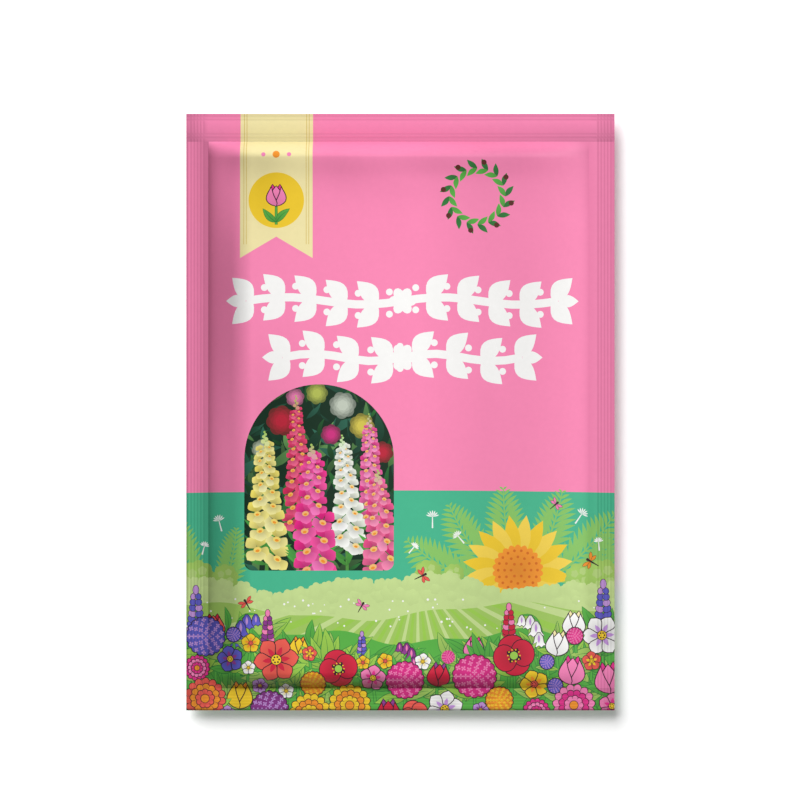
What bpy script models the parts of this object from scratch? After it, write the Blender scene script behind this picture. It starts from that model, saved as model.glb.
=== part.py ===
"""Heat-sealed seed packet with loose seeds inside, lying on its back.

Two laminate films are welded together along all four edges. The welded bands are flat and ribbed, and
between them both films stand apart round the seeds and a little air. The front film faces +Z, the top
of the packet points to +Y, and the back film rests on the plane Z = 0.
"""

import math
import random

import bmesh
import bpy
from mathutils import Matrix, Vector
from mathutils.geometry import delaunay_2d_cdt

# Packet outline and welded bands, in metres
PACKET_WIDTH = 0.1005
PACKET_HEIGHT = 0.1400
LEFT_SEAL = 0.0052
RIGHT_SEAL = 0.0060
TOP_SEAL = 0.0065
BOTTOM_SEAL = 0.0052

# Film and its height above the table
FILM = 0.00012
WELD_GAP = 0.00006
SEAL_LIFT = 0.0034

# Front of the filled body: the height of its shoulder and the crown in the middle. Each rise from a weld
# has a straight part, a reach, a share that is gained on a longer way, and the reach of that.
FRONT_SHOULDER = 0.0050
FRONT_CROWN = 0.0006
LEFT_RISE = (0.0056, 0.0104, 0.0, 0.0010)
RIGHT_RISE = (0.0030, 0.0150, 0.86, 0.0900)
TOP_RISE = (0.0006, 0.0040, 0.0, 0.0010)
BOTTOM_RISE = (0.0006, 0.0040, 0.2, 0.0340)

# Back of the filled body: how fast it leaves the weld, and the share of its depth from which it is level
BACK_REACH = 0.0050
BACK_FLAT_FROM = 0.84

# Pressed grooves: distance of the first from the edge of the packet, their pitch and their count
GROOVE_DEPTH = 0.00005
SIDE_GROOVES = ((0.00100, 0.00075, 5),)
TOP_GROOVES = ((0.00070, 0.00075, 2), (0.00480, 0.00080, 2))
BOTTOM_GROOVES = ((0.00070, 0.00070, 5),)

# Soft dents and swells of the front film: centre x and y, reach along x and y, and height
FRONT_SWELLS = (
    (-0.0290, 0.0606, 0.0100, 0.0038, 0.0010),
    (-0.0100, 0.0602, 0.0130, 0.0046, 0.0015),
    (0.0130, 0.0606, 0.0120, 0.0044, 0.0016),
    (0.0330, 0.0604, 0.0100, 0.0038, 0.0012),
    (0.0000, 0.0575, 0.0420, 0.0130, 0.0006),
    (-0.0380, 0.0540, 0.0070, 0.0120, -0.0015),
    (-0.0370, -0.0100, 0.0100, 0.0210, -0.0015),
    (0.0265, 0.0220, 0.0065, 0.0180, -0.00045),
    (-0.0270, -0.0605, 0.0150, 0.0045, 0.0009),
    (0.0040, -0.0615, 0.0130, 0.0040, 0.0007),
    (0.0300, -0.0600, 0.0110, 0.0045, 0.0008),
)

# Distances of the body's mesh lines from the weld, closer together where the film bends most
BODY_STEPS_X = (0.0, 0.0014, 0.0030, 0.0056, 0.0078, 0.0104, 0.0150, 0.0210, 0.0310)
BODY_STEPS_Y = (0.0, 0.0009, 0.0020, 0.0033, 0.0048, 0.0070, 0.0100, 0.0140, 0.0190, 0.0260, 0.0350, 0.0460)

# Seeds: a thin heap that has slid towards the lower weld
SEED_LENGTH = 0.00125
SEED_WIDTH = 0.00095
SEED_HEIGHT = 0.00085
SEED_COUNT = 50
SEED_SPACING = 0.00118
SEED_DRAW = 7
HEAP_CENTRE = (-0.0060, -0.0475)
HEAP_STRETCH = (1.45, 0.85)
HEAP_RIM = 0.00035
HEAP_MIDDLE = 0.00090
SEED_CLEARANCE = 0.00010

PRINTED_PINK = (0.95, 0.27, 0.49, 1.0)
SEED_BROWN = (0.055, 0.034, 0.022, 1.0)

LEFT, RIGHT = -PACKET_WIDTH / 2, PACKET_WIDTH / 2
BOTTOM, TOP = -PACKET_HEIGHT / 2, PACKET_HEIGHT / 2
BODY_LEFT, BODY_RIGHT = LEFT + LEFT_SEAL, RIGHT - RIGHT_SEAL
BODY_BOTTOM, BODY_TOP = BOTTOM + BOTTOM_SEAL, TOP - TOP_SEAL
SAME = 1e-7


def clear_scene():
    for obj in list(bpy.data.objects):
        bpy.data.objects.remove(obj)


def plain_material(name, colour, roughness, metallic=0.0):
    material = bpy.data.materials.new(name)
    material.use_nodes = True
    shader = material.node_tree.nodes["Principled BSDF"]
    shader.inputs["Base Color"].default_value = colour
    shader.inputs["Roughness"].default_value = roughness
    shader.inputs["Metallic"].default_value = metallic
    return material


def in_body(x, y):
    return BODY_LEFT < x < BODY_RIGHT and BODY_BOTTOM < y < BODY_TOP


def gained(distance, straight, reach):
    """From 0 to 1: straight up to the first distance, then slowing evenly until the second."""
    slowing = min(max(distance - straight, 0.0), reach - straight)
    lifted = min(distance, straight) + slowing - slowing * slowing / (2 * (reach - straight))
    return 2 * lifted / (straight + reach)


def rise(distance, way):
    straight, reach, long_share, long_reach = way
    near, far = gained(distance, straight, reach), gained(distance, 0.0, long_reach)
    return (1 - long_share) * near + long_share * far


def front_bulge(x, y):
    """Height of the front film above the weld."""
    if not in_body(x, y):
        return 0.0
    lift = rise(x - BODY_LEFT, LEFT_RISE) * rise(BODY_RIGHT - x, RIGHT_RISE)
    lift *= rise(y - BODY_BOTTOM, BOTTOM_RISE) * rise(BODY_TOP - y, TOP_RISE)
    across = 2 * (x - BODY_LEFT) / (BODY_RIGHT - BODY_LEFT) - 1
    along = 2 * (y - BODY_BOTTOM) / (BODY_TOP - BODY_BOTTOM) - 1
    height = FRONT_SHOULDER * lift + FRONT_CROWN * (1 - across**2) * (1 - along**2)
    for centre_x, centre_y, reach_x, reach_y, swell in FRONT_SWELLS:
        spread = ((x - centre_x) / reach_x) ** 2 + ((y - centre_y) / reach_y) ** 2
        height += swell * math.exp(-spread) * lift
    return height


def back_bulge(x, y):
    """Depth of the back film below the weld. It is level where it rests on the table."""
    if not in_body(x, y):
        return 0.0
    sides = (x - BODY_LEFT, BODY_RIGHT - x, y - BODY_BOTTOM, BODY_TOP - y)
    sunk = math.prod(1 - math.exp(-side / BACK_REACH) for side in sides)
    full_depth = SEAL_LIFT - WELD_GAP / 2 - FILM
    return full_depth * gained(sunk, 0.0, BACK_FLAT_FROM)


def groove_share(distance, groups):
    """How deep a groove is at this distance from the edge, from 0 to 1. Grooves of a group meet in ridges."""
    share = 0.0
    for first, pitch, count in groups:
        for i in range(count):
            share = max(share, 1 - abs(distance - first - i * pitch) / (pitch / 2))
    return share


def groove_depth(x, y):
    """Depth of the pressed grooves at a point of the welded band."""
    if in_body(x, y):
        return 0.0
    shares = (
        groove_share(min(x - LEFT, RIGHT - x), SIDE_GROOVES),
        groove_share(TOP - y, TOP_GROOVES),
        groove_share(y - BOTTOM, BOTTOM_GROOVES),
    )
    return GROOVE_DEPTH * max(shares)


def body_lines(low, high, steps):
    """Mesh lines of the body along one axis, the same from both welds, with one in the middle."""
    lines = [low + step for step in steps] + [high - step for step in steps]
    return sorted(lines + [(low + high) / 2])


def groove_lines(edge, inward, groups):
    """The bottom of each groove and the ridge or shoulder on both sides of it."""
    for first, pitch, count in groups:
        for step in range(-1, 2 * count):
            yield edge + inward * (first + step * pitch / 2)


def film_plan(grooved):
    """Flat triangulation of the film: points and triangles. Without grooves only their ends are kept."""
    points, edges = [], []

    def add_line(start, end, whole=True):
        points.extend((Vector(start), Vector(end)))
        if whole:
            edges.append((len(points) - 2, len(points) - 1))

    columns = body_lines(BODY_LEFT, BODY_RIGHT, BODY_STEPS_X)
    rows = body_lines(BODY_BOTTOM, BODY_TOP, BODY_STEPS_Y)
    for x in columns:
        add_line((x, BODY_BOTTOM), (x, BODY_TOP))
    for y in rows:
        add_line((BODY_LEFT, y), (BODY_RIGHT, y))
    middle_x, middle_y = (BODY_LEFT + BODY_RIGHT) / 2, (BODY_BOTTOM + BODY_TOP) / 2
    for x0, x1 in zip(columns, columns[1:]):
        for y0, y1 in zip(rows, rows[1:]):
            towards_corner = ((x0 + x1) / 2 - middle_x) * ((y0 + y1) / 2 - middle_y) < 0
            add_line((x0, y1 if towards_corner else y0), (x1, y0 if towards_corner else y1))
    corners = [(LEFT, BOTTOM), (RIGHT, BOTTOM), (RIGHT, TOP), (LEFT, TOP)]
    for corner, following in zip(corners, corners[1:] + corners[:1]):
        add_line(corner, following)
    for edge, inward in ((LEFT, 1), (RIGHT, -1)):
        for x in groove_lines(edge, inward, SIDE_GROOVES):
            add_line((x, BOTTOM), (x, TOP), grooved)
    for edge, inward, groups in ((TOP, -1, TOP_GROOVES), (BOTTOM, 1, BOTTOM_GROOVES)):
        for y in groove_lines(edge, inward, groups):
            add_line((LEFT, y), (RIGHT, y), grooved)
    plan = delaunay_2d_cdt(points, edges, [], 0, SAME)
    return [(p.x, p.y) for p in plan[0]], [tuple(face) for face in plan[2]]


def add_rim(mesh, outer, inner):
    """Closes the cut edge of the film, side by side, between the outer and the inner face."""
    for axis, level in ((1, BOTTOM), (0, RIGHT), (1, TOP), (0, LEFT)):
        rows = []
        for layer in (outer, inner):
            on_side = [v for v in layer if abs(v.co[axis] - level) < SAME]
            rows.append(sorted(on_side, key=lambda v: v.co[1 - axis]))
        for a, b, c, d in zip(rows[0], rows[0][1:], rows[1][1:], rows[1]):
            mesh.faces.new((a, b, c, d))


def add_film(name, outer_height, inner_height, material):
    """A film as one closed solid: a grooved outer face, a plain inner face and the cut edge."""
    mesh = bmesh.new()
    layers = []
    for grooved, height in ((True, outer_height), (False, inner_height)):
        points, triangles = film_plan(grooved)
        vertices = [mesh.verts.new((x, y, height(x, y))) for x, y in points]
        for triangle in triangles:
            mesh.faces.new([vertices[i] for i in triangle])
        layers.append(vertices)
    add_rim(mesh, *layers)
    bmesh.ops.recalc_face_normals(mesh, faces=mesh.faces)
    data = bpy.data.meshes.new(name)
    mesh.to_mesh(data)
    mesh.free()
    data.materials.append(material)
    film = bpy.data.objects.new(name, data)
    bpy.context.scene.collection.objects.link(film)
    return film


def add_front_film(material):
    inner = SEAL_LIFT + WELD_GAP / 2
    add_film(
        "front_film",
        lambda x, y: inner + FILM + front_bulge(x, y) - groove_depth(x, y),
        lambda x, y: inner + front_bulge(x, y),
        material,
    )


def add_back_film(material):
    inner = SEAL_LIFT - WELD_GAP / 2
    add_film(
        "back_film",
        lambda x, y: inner - FILM - back_bulge(x, y) + groove_depth(x, y),
        lambda x, y: inner - back_bulge(x, y),
        material,
    )


def seed_places(draw):
    """Seed centres on a loosely filled sunflower spiral, stretched along the packet's width."""
    turn = math.pi * (3 - math.sqrt(5))
    for i in range(SEED_COUNT):
        radius = SEED_SPACING * 0.62 * math.sqrt(i + 0.5)
        x = HEAP_CENTRE[0] + HEAP_STRETCH[0] * radius * math.cos(i * turn) + draw.uniform(-0.00012, 0.00012)
        y = HEAP_CENTRE[1] + HEAP_STRETCH[1] * radius * math.sin(i * turn) + draw.uniform(-0.00012, 0.00012)
        yield x, y, radius


def add_ovoid(name, centre, size, turn, levels):
    mesh = bmesh.new()
    bmesh.ops.create_icosphere(mesh, subdivisions=levels, radius=0.5)
    shape = Matrix.Translation(centre) @ turn @ Matrix.Diagonal((*size, 1.0))
    bmesh.ops.transform(mesh, matrix=shape, verts=mesh.verts)
    data = bpy.data.meshes.new(name)
    mesh.to_mesh(data)
    mesh.free()
    return bpy.data.objects.new(name, data)


def add_heap_core(floor):
    """Low mound under the seeds, level underneath, which they stand out of."""
    sides = 20
    reach = SEED_SPACING * 0.62 * math.sqrt(SEED_COUNT)
    mesh = bmesh.new()
    loops = []
    for share, height in ((1.0, 0.0), (1.0, HEAP_RIM), (0.45, HEAP_MIDDLE)):
        loops.append([])
        for side in range(sides):
            angle = 2 * math.pi * side / sides
            x = HEAP_CENTRE[0] + HEAP_STRETCH[0] * reach * share * math.cos(angle)
            y = HEAP_CENTRE[1] + HEAP_STRETCH[1] * reach * share * math.sin(angle)
            loops[-1].append(mesh.verts.new((x, y, floor + height)))
    for low, high in zip(loops, loops[1:]):
        for i in range(sides):
            following = (i + 1) % sides
            mesh.faces.new((low[i], low[following], high[following], high[i]))
    mesh.faces.new(loops[0][::-1])
    mesh.faces.new(loops[-1])
    data = bpy.data.meshes.new("seeds")
    mesh.to_mesh(data)
    mesh.free()
    core = bpy.data.objects.new("seeds", data)
    bpy.context.scene.collection.objects.link(core)
    return core


def add_seeds(material):
    """Loose seeds lying on the back film, joined where they touch."""
    draw = random.Random(SEED_DRAW)
    floor = FILM + SEED_CLEARANCE
    rim_radius = SEED_SPACING * 0.62 * math.sqrt(SEED_COUNT)
    core = add_heap_core(floor)
    loose = bpy.data.collections.new("loose_seeds")
    bpy.context.scene.collection.children.link(loose)
    for i, (x, y, radius) in enumerate(seed_places(draw)):
        tilt = Matrix.Rotation(draw.uniform(-0.3, 0.3), 4, "Y")
        turn = Matrix.Rotation(draw.uniform(0, math.pi), 4, "Z") @ tilt
        stretch = draw.uniform(0.92, 1.08)
        size = (SEED_LENGTH * stretch, SEED_WIDTH, SEED_HEIGHT)
        piled = 0.6 * HEAP_MIDDLE * (1 - radius / rim_radius)
        centre = (x, y, floor + SEED_HEIGHT * 0.6 + piled)
        loose.objects.link(add_ovoid(f"seed_{i:02d}", centre, size, turn, 1))
    union = core.modifiers.new("join", "BOOLEAN")
    union.operation = "UNION"
    union.solver = "EXACT"
    union.operand_type = "COLLECTION"
    union.collection = loose
    bpy.context.view_layer.update()
    graph = bpy.context.evaluated_depsgraph_get()
    joined = bpy.data.meshes.new_from_object(core.evaluated_get(graph))
    core.modifiers.clear()
    core.data = joined
    joined.name = "seeds"
    for seed in list(loose.objects):
        bpy.data.objects.remove(seed)
    bpy.data.collections.remove(loose)
    joined.materials.clear()
    joined.materials.append(material)


def main():
    clear_scene()
    add_front_film(plain_material("printed_film", PRINTED_PINK, 0.42))
    add_back_film(plain_material("printed_film_back", PRINTED_PINK, 0.42))
    add_seeds(plain_material("seed_coat", SEED_BROWN, 0.85))


main()
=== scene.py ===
"""Looks of a heat-sealed seed packet that lies on its back, seen from straight above.

Lengths are in millimetres until a mesh is made. The print is drawn flat and then laid on the film.
"""

import math
import random

import bmesh
import bpy
import numpy as np
from mathutils import Matrix, Vector
from mathutils.bvhtree import BVHTree
from mathutils.geometry import delaunay_2d_cdt


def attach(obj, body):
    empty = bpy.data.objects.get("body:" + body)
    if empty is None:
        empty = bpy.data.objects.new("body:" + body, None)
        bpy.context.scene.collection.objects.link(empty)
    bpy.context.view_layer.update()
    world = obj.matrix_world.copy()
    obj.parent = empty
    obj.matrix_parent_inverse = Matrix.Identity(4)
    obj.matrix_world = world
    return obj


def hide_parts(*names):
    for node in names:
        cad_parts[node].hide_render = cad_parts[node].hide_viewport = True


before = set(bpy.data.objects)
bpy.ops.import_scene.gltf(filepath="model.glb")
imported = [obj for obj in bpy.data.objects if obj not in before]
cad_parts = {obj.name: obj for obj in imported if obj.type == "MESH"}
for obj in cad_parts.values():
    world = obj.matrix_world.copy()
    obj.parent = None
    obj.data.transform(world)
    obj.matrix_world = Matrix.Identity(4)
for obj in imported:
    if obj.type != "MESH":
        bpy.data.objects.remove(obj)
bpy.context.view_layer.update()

# Outline, welds and film, as in the CAD model
WIDTH, HEIGHT = 100.5, 140.0
LEFT, RIGHT, BOTTOM, TOP = -WIDTH / 2, WIDTH / 2, -HEIGHT / 2, HEIGHT / 2
BODY_LEFT, BODY_RIGHT = LEFT + 5.2, RIGHT - 6.0
BODY_BOTTOM, BODY_TOP = BOTTOM + 5.2, TOP - 6.5
FILM, WELD_GAP, SEAL_LIFT = 0.12, 0.06, 3.4
MM_PER_METRE = 1000

# Filled body, as in the CAD model, except that the first two swells are a little lower
SHOULDER, CROWN = 5.0, 0.6
# Each rise from a weld: straight part, reach, share of a longer rise, and the reach of that
LEFT_RISE, RIGHT_RISE = (5.6, 10.4, 0.0, 1.0), (3.0, 15.0, 0.86, 90.0)
TOP_RISE, BOTTOM_RISE = (0.6, 4.0, 0.0, 1.0), (0.6, 4.0, 0.2, 34.0)
# Each swell or dent: middle, reach across and along, and height
SWELLS = (
    (-29.0, 60.6, 10.0, 3.8, 0.85),
    (-10.0, 60.2, 13.0, 4.6, 1.38),
    (13.0, 60.6, 12.0, 4.4, 1.6),
    (33.0, 60.4, 10.0, 3.8, 1.2),
    (0.0, 57.5, 42.0, 13.0, 0.6),
    (-38.0, 54.0, 7.0, 12.0, -1.5),
    (-37.0, -10.0, 10.0, 21.0, -1.5),
    (26.5, 22.0, 6.5, 18.0, -0.45),
    (-27.0, -60.5, 15.0, 4.5, 0.9),
    (4.0, -61.5, 13.0, 4.0, 0.7),
    (30.0, -60.0, 11.0, 4.5, 0.8),
)
# Finer folds, which only the printed mesh is close enough to carry, and the crease beside each side weld
FOLDS = ((-36.3, -14.0, 2.4, 11.0, 0.22), (2.0, 53.0, 9.0, 2.6, 0.14), (22.0, 55.0, 7.0, 2.4, -0.12))
LEFT_CREASE, RIGHT_CREASE = (0.16, 2.0), (-0.12, 1.6)
BACK_REACH, BACK_FLAT_FROM = 5.0, 0.84

# Pressed grooves: distance of the first from the edge of the packet, pitch and count
GROOVE_DEPTH = 0.05
SIDE_GROOVES = ((1.00, 0.75, 5),)
TOP_GROOVES = ((0.70, 0.75, 2), (4.80, 0.80, 2))
BOTTOM_GROOVES = ((0.70, 0.70, 5),)

# Painted shade on the left, right, top and bottom band, as a factor on the print at each of these shares of
# its width inwards. The bottom of a groove gets a little more painted shade.
BAND_SHADE_PLACES = (0.05, 0.12, 0.5, 1.0)
BAND_PAINTED_SHADES = (
    (0.62, 0.84, 0.77, 0.58), (0.76, 0.83, 0.85, 0.87), (0.84, 0.92, 0.92, 0.69), (0.36, 0.93, 0.90, 0.74),
)
GROOVE_PAINTED_SHADE = 0.10
# How far past a band's edge the middle of a triangle may lie and still have the band's painted shade
BAND_MARGIN = 0.03
# How much painted shade is added on the top and bottom band where it reaches the left and right side
LEFT_CORNER_SHADE, RIGHT_CORNER_SHADE = 0.22, 0.14
# Painted shade on the body beside the right and the top band, each by distances from the band
RIGHT_PAINTED_SHADE = ((24.0, 40.0), (0.13, 0.0))
TOP_PAINTED_SHADE = ((0.8, 2.4, 9.0, 18.0), (0.0, 0.13, 0.06, 0.0))
TOP_PAINTED_SHADE_FROM = (-36.0, -16.0)
INNER_GREY, RIM_GREY = 0.8, 0.85

# Lines that the printed face follows: distances from the edge of the packet, distance on both sides of a
# weld's inner edge, distances on the body, and where the fine even spacing starts and ends there
RIM_LINES, EDGE_LINE, CLOSE_LINES, FINE_FROM, FINE_UNTIL = (0.25, 0.5), 0.04, (0.12, 0.25), 0.4, 9.0

# UV map: margin, length that fills it, place and scale of the inner face, and the strips of the cut rim
UV_MARGIN, UV_LENGTH = 0.02, 146
UV_INNER_AT, UV_INNER_SCALE = 0.745, 0.3
UV_RIM_AT, UV_RIM_PITCH, UV_RIM_WIDTH = 0.714, 0.006, 0.003

# Seeds: how many, spacing, middle and stretch of the heap, size of a seed, and its height over the film
SEED_COUNT, SEED_SPACING = 170, 0.42
HEAP_MIDDLE, HEAP_STRETCH = (-6.0, -47.5), (1.42, 0.84)
SEED_SIZE, SEED_CLEARANCE, PIT_DEPTH = (1.12, 0.84, 0.74), 0.08, 0.12
PILE_HEIGHT, PILE_REACH = 0.75, 5.4

# Width of the packet in the picture, its middle and the picture's size, all in pixels
PACKET_PIXELS, PACKET_MIDDLE, PICTURE_PIXELS = 428.2, (400.4, 412.1), 800
# Lens and sensor width in mm
LENS, SENSOR = 200.0, 36.0
# Floor size and drop under the packet in metres, its tone and own glow, and the light of the surroundings
FLOOR_SIZE, FLOOR_DROP, FLOOR_TONE, FLOOR_GLOW, WORLD_STRENGTH = 6.0, 0.00002, 0.94, 0.26, 0.06


def ink(red, green, blue):
    """Linear colour of a printed ink given in 0 to 255."""
    shares = (red / 255, green / 255, blue / 255)
    return tuple(c / 12.92 if c <= 0.04045 else ((c + 0.055) / 1.055) ** 2.4 for c in shares)


PINK = ink(254, 140, 185)
TEAL = ink(74, 187, 146)
PALE_LIME = ink(200, 223, 148)
MID_LIME = ink(164, 203, 100)
LEAF_LIME = ink(158, 207, 83)
LEAF_GREEN = ink(92, 179, 74)
DEEP_GREEN = ink(52, 126, 62)
NIGHT_GREEN = ink(22, 50, 34)
OUTLINE = ink(54, 32, 44)
CREAM = ink(246, 233, 174)
YELLOW = ink(245, 206, 50)
ORANGE = ink(243, 150, 48)
CORAL = ink(238, 96, 84)
CRIMSON = ink(206, 40, 66)
MAGENTA = ink(226, 54, 140)
ROSE = ink(246, 134, 186)
VIOLET = ink(98, 96, 198)
PURPLE = ink(142, 62, 142)
LILAC = ink(196, 150, 218)
WHITE = ink(253, 252, 250)
UMBER = ink(92, 44, 34)


# Shape of the films

def body_sides(x, y):
    """Distances inwards from the left, right, lower and upper edge of the body."""
    return x - BODY_LEFT, BODY_RIGHT - x, y - BODY_BOTTOM, BODY_TOP - y


def in_body(x, y):
    return np.minimum.reduce(body_sides(x, y)) > 0


def groove_share(distance, groups):
    share = np.zeros_like(distance)
    for first, pitch, count in groups:
        for i in range(count):
            share = np.maximum(share, 1 - np.abs(distance - first - i * pitch) / (pitch / 2))
    return share


def groove_depth(x, y):
    shares = np.maximum.reduce((
        groove_share(np.minimum(x - LEFT, RIGHT - x), SIDE_GROOVES),
        groove_share(TOP - y, TOP_GROOVES),
        groove_share(y - BOTTOM, BOTTOM_GROOVES),
    ))
    return np.where(in_body(x, y), 0.0, GROOVE_DEPTH * shares)


def gained(distance, straight, reach):
    """From 0 to 1: straight up to the first distance, then slowing evenly until the second."""
    slowing = np.clip(distance - straight, 0, reach - straight)
    lifted = np.clip(distance, 0, straight) + slowing - slowing**2 / (2 * (reach - straight))
    return 2 * lifted / (straight + reach)


def rise(distance, way):
    straight, reach, long_share, long_reach = way
    near, far = gained(distance, straight, reach), gained(distance, 0.0, long_reach)
    return (1 - long_share) * near + long_share * far


def front_bulge(x, y):
    left, right, bottom, top = body_sides(x, y)
    ends = rise(bottom, BOTTOM_RISE) * rise(top, TOP_RISE)
    lift = rise(left, LEFT_RISE) * rise(right, RIGHT_RISE) * ends
    across = 2 * left / (BODY_RIGHT - BODY_LEFT) - 1
    along = 2 * bottom / (BODY_TOP - BODY_BOTTOM) - 1
    height = SHOULDER * lift + CROWN * (1 - across**2) * (1 - along**2)
    for cx, cy, rx, ry, swell in SWELLS + FOLDS:
        height = height + swell * np.exp(-(((x - cx) / rx) ** 2) - ((y - cy) / ry) ** 2) * lift
    for side, (deep, reach) in ((left, LEFT_CREASE), (right, RIGHT_CREASE)):
        share = np.maximum(side, 0) / reach
        height = height + deep * share * np.exp(1 - share) * ends
    return np.where(in_body(x, y), height, 0.0)


def back_bulge(x, y):
    sunk = 1.0
    for side in body_sides(x, y):
        sunk = sunk * (1 - np.exp(-np.maximum(side, 0) / BACK_REACH))
    full_depth = SEAL_LIFT - WELD_GAP / 2 - FILM
    return np.where(in_body(x, y), full_depth * gained(sunk, 0.0, BACK_FLAT_FROM), 0.0)


def front_inside(x, y):
    return SEAL_LIFT + WELD_GAP / 2 + front_bulge(x, y)


def front_outside(x, y):
    return front_inside(x, y) + FILM - groove_depth(x, y)


def back_inside(x, y):
    return SEAL_LIFT - WELD_GAP / 2 - back_bulge(x, y)


def back_outside(x, y):
    return back_inside(x, y) - FILM + groove_depth(x, y)


def normals_of(height, x, y, step=0.02):
    """Upward unit normals of a height field."""
    slope_x = (height(x + step, y) - height(x - step, y)) / (2 * step)
    slope_y = (height(x, y + step) - height(x, y - step)) / (2 * step)
    normals = np.stack([-slope_x, -slope_y, np.ones_like(slope_x)], axis=1)
    return normals / np.linalg.norm(normals, axis=1, keepdims=True)


# Flat drawing

class Sheet:
    """Flat shapes, each painted over the ones before it. A shape may be kept inside an earlier one."""

    def __init__(self):
        self.shapes, self.colours, self.clips, self.fades = [], [], [], []

    def add(self, points, colour, clip=-1, fade=None):
        """fade is centre x, centre y, reach, and the tones at the centre and from the reach on."""
        self.shapes.append(np.asarray(points, dtype=float))
        self.colours.append(colour)
        self.clips.append(clip)
        self.fades.append(fade or (0.0, 0.0, 1.0, 1.0, 1.0))
        return len(self.shapes) - 1

    def lined(self, points, colour, line=0.22, fade=None, dark=OUTLINE):
        """Shape with a dark line round it."""
        self.add(grown(points, line), dark)
        self.add(points, colour, fade=fade)


def offset(x, y, angle, along, across=0.0):
    """Place along and across a direction, given in radians, from (x, y)."""
    c, s = math.cos(angle), math.sin(angle)
    return x + along * c - across * s, y + along * s + across * c


def disc(cx, cy, rx, ry=None, turn=0.0, count=18):
    t = np.linspace(0, 2 * math.pi, count, endpoint=False)
    return np.stack(offset(cx, cy, math.radians(turn), rx * np.cos(t), (ry or rx) * np.sin(t)), 1)


def scallop(cx, cy, radius, bumps, depth, turn=0.0):
    """Round shape with a rim of equal bumps."""
    t = np.linspace(0, 2 * math.pi, bumps * 6, endpoint=False)
    r = radius * (1 - depth + depth * np.abs(np.sin(bumps * t / 2)))
    t = t + math.radians(turn)
    return np.stack([cx + r * np.cos(t), cy + r * np.sin(t)], 1)


def petal(x, y, length, width, angle, fullness=1.0, bend=0.0, count=8):
    """Leaf or petal from (x, y) along angle in degrees. fullness over 1 puts its widest part near the tip."""
    t = np.linspace(0, 1, count + 1)
    half = width / 2 * np.sin(math.pi * t**fullness)
    along, across = length * t, bend * length * np.sin(math.pi * t)
    u = np.concatenate([along, along[-2:0:-1]])
    v = np.concatenate([across - half, (across + half)[-2:0:-1]])
    return np.stack(offset(x, y, math.radians(angle), u, v), 1)


def curve(start, middle, end, count=8):
    t = np.linspace(0, 1, count + 1)[:, None]
    start, middle, end = (np.asarray(p, dtype=float) for p in (start, middle, end))
    return (1 - t) ** 2 * start + 2 * t * (1 - t) * middle + t**2 * end


def ribbon(path, start, end):
    """Stroke along a path, its width changing evenly from start to end."""
    path = np.asarray(path, dtype=float)
    way = np.gradient(path, axis=0)
    side = np.stack([-way[:, 1], way[:, 0]], 1) / np.linalg.norm(way, axis=1, keepdims=True)
    half = np.linspace(start, end, len(path))[:, None] / 2
    return np.concatenate([path - side * half, (path + side * half)[::-1]])


def grown(points, width):
    """Closed counter-clockwise shape with every point moved outwards."""
    points = np.asarray(points, dtype=float)
    before, after = points - np.roll(points, 1, 0), np.roll(points, -1, 0) - points
    way = before / (np.linalg.norm(before, axis=1, keepdims=True) + 1e-9)
    way = way + after / (np.linalg.norm(after, axis=1, keepdims=True) + 1e-9)
    out = np.stack([way[:, 1], -way[:, 0]], 1)
    return points + width * out / np.maximum(np.linalg.norm(out, axis=1, keepdims=True), 0.35)


def mixed(one, other, share):
    return tuple(a + (b - a) * share for a, b in zip(one, other))


# Motifs

def dots(sheet, x, y, radius, count, size, colour, turn=0.0, sides=6):
    """Ring of equal dots."""
    for i in range(count):
        place = offset(x, y, math.radians(360 / count * i + turn), radius)
        sheet.add(disc(*place, size, count=sides), colour)


def leaf(sheet, x, y, length, angle, colour=LEAF_LIME, line=0.16, width=0.34, bend=0.06):
    sheet.lined(petal(x, y, length, length * width, angle, 0.8, bend), colour, line,
                (x, y, length, 0.72, 1.05), DEEP_GREEN)
    a = math.radians(angle)
    side, tip = offset(x, y, a, 0.4 * length, 2 * bend * length), offset(x, y, a, 0.82 * length)
    sheet.add(ribbon(curve((x, y), side, tip, 5), 0.2, 0.06), DEEP_GREEN)


def stem(sheet, x, y, foot, lean=0.0, width=0.55):
    path = curve((x + lean, foot), (x + lean * 0.3, (y + foot) / 2), (x, y), 6)
    sheet.lined(ribbon(path, width, width * 0.7), LEAF_GREEN, 0.13, dark=DEEP_GREEN)


def tulip(sheet, x, y, size, colour, back, turn=0.0):
    """Rounded cup of five petals with pointed tips."""
    low = y - 0.55 * size
    for side in (-1, 1):
        outer = petal(x, low, size * 1.14, size * 0.44, 90 + turn + side * 10, 1.0, side * 0.05)
        sheet.lined(outer, back, fade=(x, low, size, 0.72, 1.1))
    middle = petal(x, low, size * 1.04, size * 0.66, 90 + turn, 0.8)
    sheet.lined(middle, colour, fade=(x, low, size, 0.74, 1.12))
    for side in (-1, 1):
        inner = petal(x, low, size * 1.0, size * 0.42, 90 + turn + side * 15, 0.74, side * 0.19)
        sheet.lined(inner, colour, fade=(x, low, size, 0.82, 1.1))


def blossom(sheet, x, y, size, colour, inner, heart, petals=5, turn=0.0, line=0.2):
    r = size / 2
    wide = 1.95 * math.pi * r * 0.62 / petals
    turns = [turn + 360 / petals * i for i in range(petals)]
    for a in turns:
        sheet.lined(petal(x, y, r, wide * 1.15, a, 1.7, count=7), colour, line, (x, y, r, 0.62, 1.06))
    for a in turns:
        sheet.add(petal(x, y, r * 0.62, wide * 0.34, a, 1.2, count=5), inner)
    sheet.lined(disc(x, y, r * 0.22, count=12), heart, line * 0.8)
    dots(sheet, x, y, 0.13 * r, 6, 0.045 * r, OUTLINE, turn)


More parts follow.
